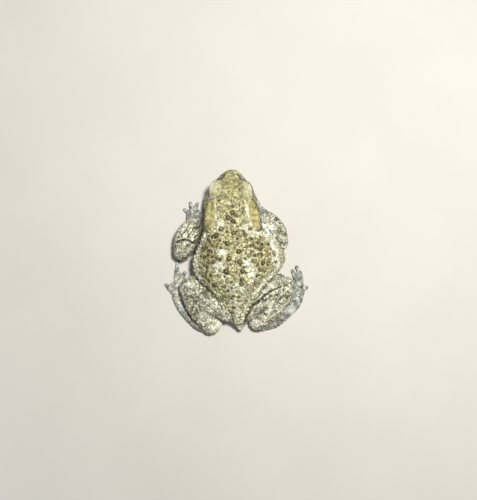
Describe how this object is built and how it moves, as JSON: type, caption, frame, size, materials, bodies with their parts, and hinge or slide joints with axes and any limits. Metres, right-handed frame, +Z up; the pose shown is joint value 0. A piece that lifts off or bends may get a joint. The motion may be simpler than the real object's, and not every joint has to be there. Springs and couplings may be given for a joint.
{
  "type": "common toad model",
  "caption": "Life-size still model of a common toad crouched on the ground, limbs folded, for display as in a natural history museum.",
  "frame": {"origin": "middle of the bounding box at the plane that the toad rests on", "axes": "+Y towards the snout, +Z up from the ground, +X towards the toad's right side"},
  "size_m": [0.0754, 0.085, 0.03],
  "materials": {
    "back_skin": "warty dry skin, satin sheen",
    "head_skin": "fine grained skin, satin sheen",
    "belly_skin": "granular skin, matt",
    "limb_skin": "mottled warty skin, satin sheen",
    "gland_skin": "smooth pitted skin, satin sheen",
    "eye": "wet gloss"
  },
  "bodies": {
    "root": {"head": "head_skin", "lower_jaw": "belly_skin", "torso": "back_skin", "parotoid_left": "gland_skin", "parotoid_right": "gland_skin", "eye_left": "eye", "eye_right": "eye", "upper_arm_left": "limb_skin", "upper_arm_right": "limb_skin", "forearm_left": "limb_skin", "forearm_right": "limb_skin", "hand_left": "limb_skin", "hand_right": "limb_skin", "thigh_left": "limb_skin", "thigh_right": "limb_skin", "shank_left": "limb_skin", "shank_right": "limb_skin", "ankle_left": "limb_skin", "ankle_right": "limb_skin", "foot_left": "limb_skin", "foot_right": "limb_skin"}
  },
  "joints": []
}
